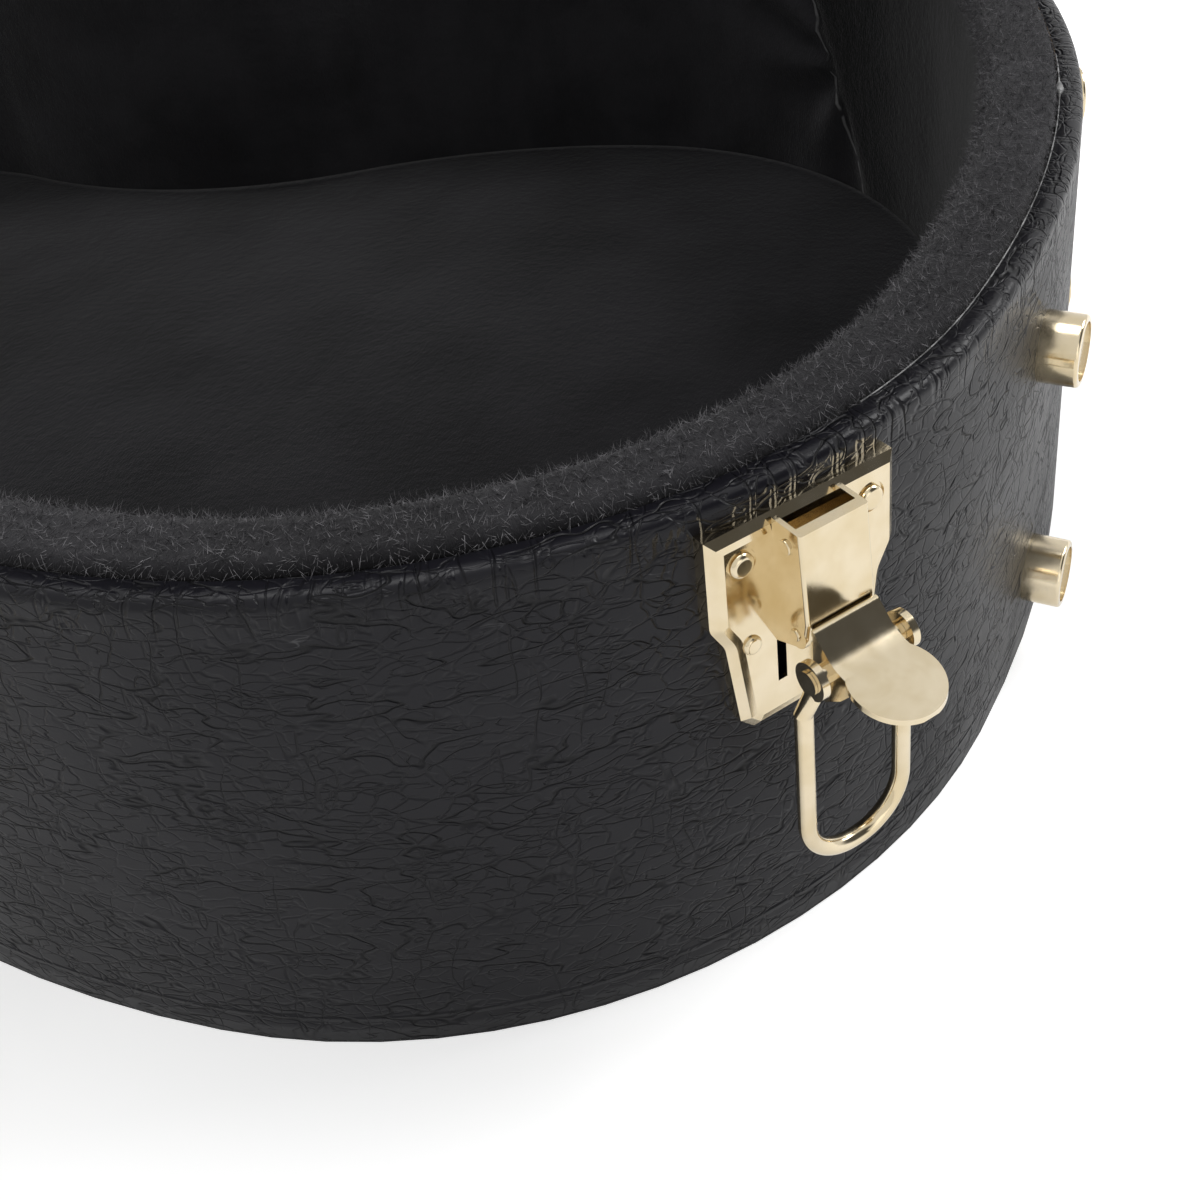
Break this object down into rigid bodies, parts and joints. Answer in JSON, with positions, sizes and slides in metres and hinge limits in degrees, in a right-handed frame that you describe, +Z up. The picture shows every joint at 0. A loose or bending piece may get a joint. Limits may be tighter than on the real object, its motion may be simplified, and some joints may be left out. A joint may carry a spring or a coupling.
{
  "type": "acoustic guitar case",
  "caption": "Hard case shaped for an acoustic guitar, vinyl over plywood, plush lined, with lid, draw latches, handle and accessory box.",
  "frame": {"origin": "middle of the tray's length and width, on the underside the case lies on", "axes": "+Z up, +X towards the butt end, -X towards the headstock end, -Y the front with handle and latches, +Y the hinge side"},
  "size_m": [1.1121, 0.6378, 0.536],
  "materials": {
    "vinyl": "satin leather-grain vinyl",
    "plywood": "raw plywood",
    "plush": "short-pile plush over foam",
    "gold": "polished gold-tone plating",
    "tape": "woven ribbon"
  },
  "bodies": {
    "tray": {"tray_side_wall": "plywood", "tray_bottom_panel": "plywood", "tray_side_covering": "vinyl", "tray_underside_covering": "vinyl", "tray_wall_pad": "plush", "tray_floor_pad": "plush", "accessory_wall": "plush", "neck_cradle": "plush", "butt_feet": "gold", "spine_feet": "gold", "handle_brackets": "gold", "hinge_tray_rivets": "gold", "latch_pins": "gold", "latch_rivets": "gold", "hinge_lower_tray_leaf": "gold", "hinge_lower_pin": "gold", "hinge_upper_tray_leaf": "gold", "hinge_upper_pin": "gold", "latch_butt_front_plate": "gold", "latch_butt_front_housing": "gold", "latch_butt_back_plate": "gold", "latch_butt_back_housing": "gold", "latch_waist_plate": "gold", "latch_waist_housing": "gold", "latch_shoulder_plate": "gold", "latch_shoulder_housing": "gold", "latch_neck_plate": "gold", "latch_neck_housing": "gold"},
    "lid": {"lid_side_wall": "plywood", "lid_top_panel": "plywood", "lid_covering": "vinyl", "lid_wall_lining": "plush", "lid_top_pad": "plush", "hinge_lid_rivets": "gold", "catch_rivets": "gold", "hinge_lower_lid_leaf": "gold", "hinge_upper_lid_leaf": "gold", "latch_butt_front_catch": "gold", "latch_butt_back_catch": "gold", "latch_waist_catch": "gold", "latch_shoulder_catch": "gold", "latch_neck_catch": "gold"},
    "accessory_lid": {"accessory_lid": "plush", "accessory_pull_tab": "tape"},
    "handle": {"handle_grip": "vinyl", "handle_rings": "gold"},
    "lever_butt_front": {"latch_butt_front_lever": "gold"},
    "bail_butt_front": {"latch_butt_front_bail": "gold"},
    "lever_butt_back": {"latch_butt_back_lever": "gold"},
    "bail_butt_back": {"latch_butt_back_bail": "gold"},
    "lever_waist": {"latch_waist_lever": "gold"},
    "bail_waist": {"latch_waist_bail": "gold"},
    "lever_shoulder": {"latch_shoulder_lever": "gold"},
    "bail_shoulder": {"latch_shoulder_bail": "gold"},
    "lever_neck": {"latch_neck_lever": "gold"},
    "bail_neck": {"latch_neck_bail": "gold"}
  },
  "joints": [
    {"name": "lid_hinge", "type": "hinge", "parent": "tray", "child": "lid", "pos_m": [0.33778, 0.21887, 0.1183], "axis": [0.9915, 0.1297, 0], "range_deg": [0, 108]},
    {"name": "accessory_lid_hinge", "type": "hinge", "parent": "tray", "child": "accessory_lid", "pos_m": [-0.13776, 0, 0.057], "axis": [0, -1, 0], "range_deg": [-100, 0]},
    {"name": "handle_swing", "type": "hinge", "parent": "tray", "child": "handle", "pos_m": [0.17815, -0.19375, 0.078], "axis": [-0.9952, 0.0978, 0], "range_deg": [0, 160]},
    {"name": "lever_butt_front_pivot", "type": "hinge", "parent": "tray", "child": "lever_butt_front", "pos_m": [0.497, -0.1723, 0.0896], "axis": [0.6691, 0.7431, 0], "range_deg": [0, 70]},
    {"name": "bail_butt_front_pivot", "type": "hinge", "parent": "lever_butt_front", "child": "bail_butt_front", "pos_m": [0.50273, -0.17746, 0.086], "axis": [-0.6691, -0.7431, 0], "range_deg": [0, 250]},
    {"name": "lever_butt_back_pivot", "type": "hinge", "parent": "tray", "child": "lever_butt_back", "pos_m": [0.497, 0.1723, 0.0896], "axis": [-0.6691, 0.7431, 0], "range_deg": [0, 70]},
    {"name": "bail_butt_back_pivot", "type": "hinge", "parent": "lever_butt_back", "child": "bail_butt_back", "pos_m": [0.50273, 0.17746, 0.086], "axis": [0.6691, -0.7431, 0], "range_deg": [0, 250]},
    {"name": "lever_waist_pivot", "type": "hinge", "parent": "tray", "child": "lever_waist", "pos_m": [0.30427, -0.21791, 0.0896], "axis": [0.9703, -0.2419, 0], "range_deg": [0, 70]},
    {"name": "bail_waist_pivot", "type": "hinge", "parent": "lever_waist", "child": "bail_waist", "pos_m": [0.3024, -0.22538, 0.086], "axis": [-0.9703, 0.2419, 0], "range_deg": [0, 250]},
    {"name": "lever_shoulder_pivot", "type": "hinge", "parent": "tray", "child": "lever_shoulder", "pos_m": [-0.01076, -0.15922, 0.0896], "axis": [0.788, -0.6157, 0], "range_deg": [0, 70]},
    {"name": "bail_shoulder_pivot", "type": "hinge", "parent": "lever_shoulder", "child": "bail_shoulder", "pos_m": [-0.0155, -0.16529, 0.086], "axis": [-0.788, 0.6157, 0], "range_deg": [0, 250]},
    {"name": "lever_neck_pivot", "type": "hinge", "parent": "tray", "child": "lever_neck", "pos_m": [-0.38862, -0.08943, 0.0896], "axis": [0.9998, 0.0209, 0], "range_deg": [0, 70]},
    {"name": "bail_neck_pivot", "type": "hinge", "parent": "lever_neck", "child": "bail_neck", "pos_m": [-0.38846, -0.09713, 0.086], "axis": [-0.9998, -0.0209, 0], "range_deg": [0, 250]}
  ],
  "couplings": [
    {"joint": "bail_butt_front_pivot", "follows": "lever_butt_front_pivot", "ratio": 3.5714},
    {"joint": "bail_butt_back_pivot", "follows": "lever_butt_back_pivot", "ratio": 3.5714},
    {"joint": "bail_waist_pivot", "follows": "lever_waist_pivot", "ratio": 3.5714},
    {"joint": "bail_shoulder_pivot", "follows": "lever_shoulder_pivot", "ratio": 3.5714},
    {"joint": "bail_neck_pivot", "follows": "lever_neck_pivot", "ratio": 3.5714}
  ]
}
